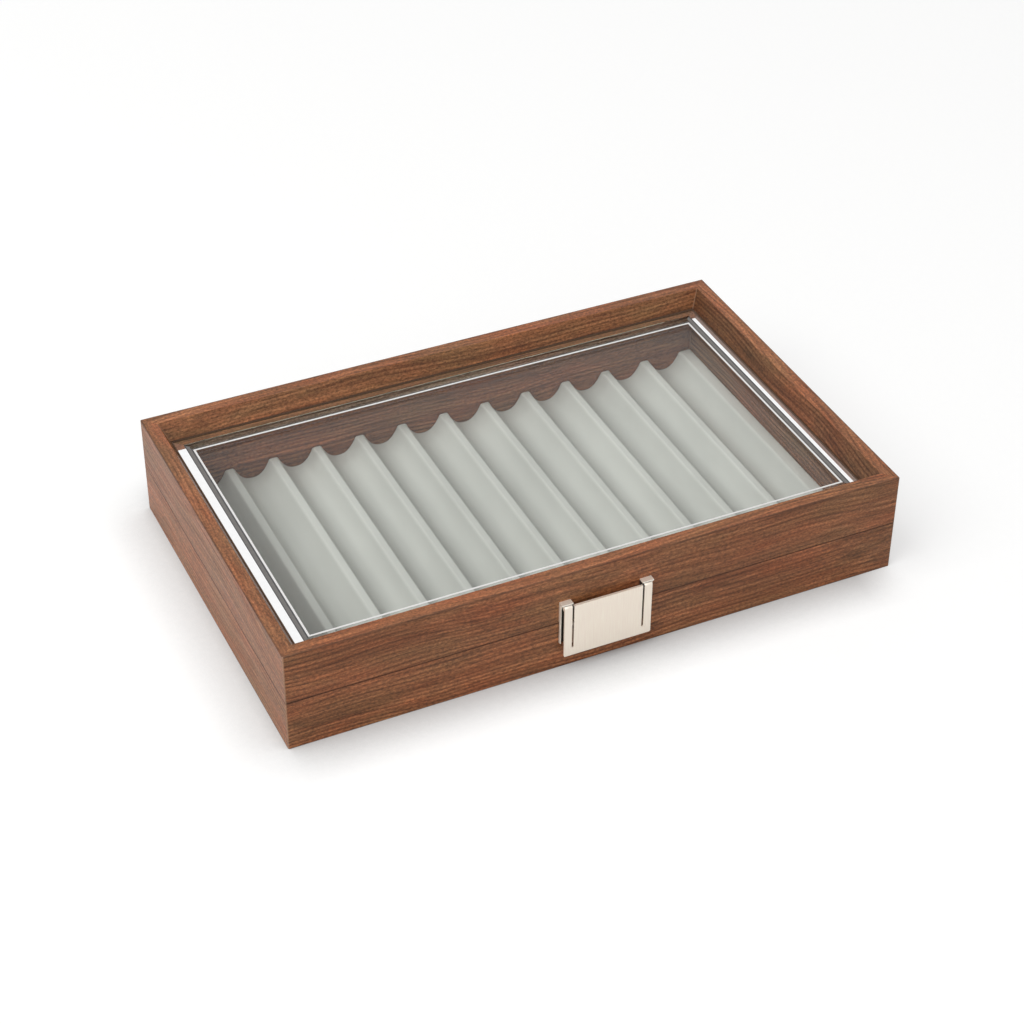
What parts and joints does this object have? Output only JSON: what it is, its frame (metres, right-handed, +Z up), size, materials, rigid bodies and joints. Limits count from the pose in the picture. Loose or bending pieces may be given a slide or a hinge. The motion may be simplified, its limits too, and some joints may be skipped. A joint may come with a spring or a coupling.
{
  "type": "pen display case",
  "caption": "Flat wooden display box for pens with a hinged glass lid, a channelled tray and a front flap clasp.",
  "frame": {"origin": "centre of the case's underside, on the surface it stands on", "axes": "+X along the long side to the right seen from the clasp, +Y from the clasp to the hinges, +Z up"},
  "size_m": [0.32, 0.2102, 0.055],
  "materials": {
    "walnut_case": "walnut-grained boards, satin lacquer, grain along each board",
    "walnut_lid": "walnut-grained rails, satin lacquer, mitred corners",
    "walnut_liner": "walnut-grained thin boards, satin lacquer",
    "walnut_bead": "dark walnut-grained moulding, satin lacquer",
    "plywood": "bare plywood",
    "underside_felt": "black self-adhesive felt",
    "tray_velvet": "light grey flock over foam, soft nap",
    "glass": "clear flat glass, polished",
    "white_line": "printed white enamel line",
    "bright_trim": "mirror-bright foil strip",
    "hinge_nickel": "satin nickel plate",
    "screw_steel": "nickel-plated steel",
    "clasp_satin": "satin champagne nickel, finely brushed"
  },
  "bodies": {
    "base": {"base_front_board": "walnut_case", "base_back_board": "walnut_case", "base_left_board": "walnut_case", "base_right_board": "walnut_case", "base_bottom_panel": "plywood", "base_felt_pad": "underside_felt", "liner_front": "walnut_liner", "liner_back": "walnut_liner", "liner_left": "walnut_liner", "liner_right": "walnut_liner", "pen_tray": "tray_velvet", "hinge_left_base_leaf": "hinge_nickel", "hinge_right_base_leaf": "hinge_nickel", "hinge_left_pin": "hinge_nickel", "hinge_right_pin": "hinge_nickel", "hinge_base_screws": "screw_steel", "clasp_keeper": "clasp_satin", "clasp_keeper_screws": "screw_steel"},
    "lid": {"lid_front_rail": "walnut_lid", "lid_back_rail": "walnut_lid", "lid_left_rail": "walnut_lid", "lid_right_rail": "walnut_lid", "glass_pane": "glass", "glass_border_line": "white_line", "glass_bead_front": "walnut_bead", "glass_bead_back": "walnut_bead", "glass_bead_left": "walnut_bead", "glass_bead_right": "walnut_bead", "glass_trim_front": "bright_trim", "glass_trim_back": "bright_trim", "glass_trim_left": "bright_trim", "glass_trim_right": "bright_trim", "hinge_left_lid_leaf": "hinge_nickel", "hinge_right_lid_leaf": "hinge_nickel", "hinge_lid_screws": "screw_steel", "clasp_back_plate": "clasp_satin", "clasp_plate_screws": "screw_steel", "clasp_pin": "clasp_satin"},
    "flap": {"clasp_flap": "clasp_satin"}
  },
  "joints": [
    {"name": "lid_hinge", "type": "hinge", "parent": "base", "child": "lid", "pos_m": [0, 0.1022, 0.0275], "axis": [-1, 0, 0], "range_deg": [0, 95]},
    {"name": "clasp_swing", "type": "hinge", "parent": "lid", "child": "flap", "pos_m": [0, -0.1026, 0.0376], "axis": [-1, 0, 0], "range_deg": [0, 95]}
  ]
}
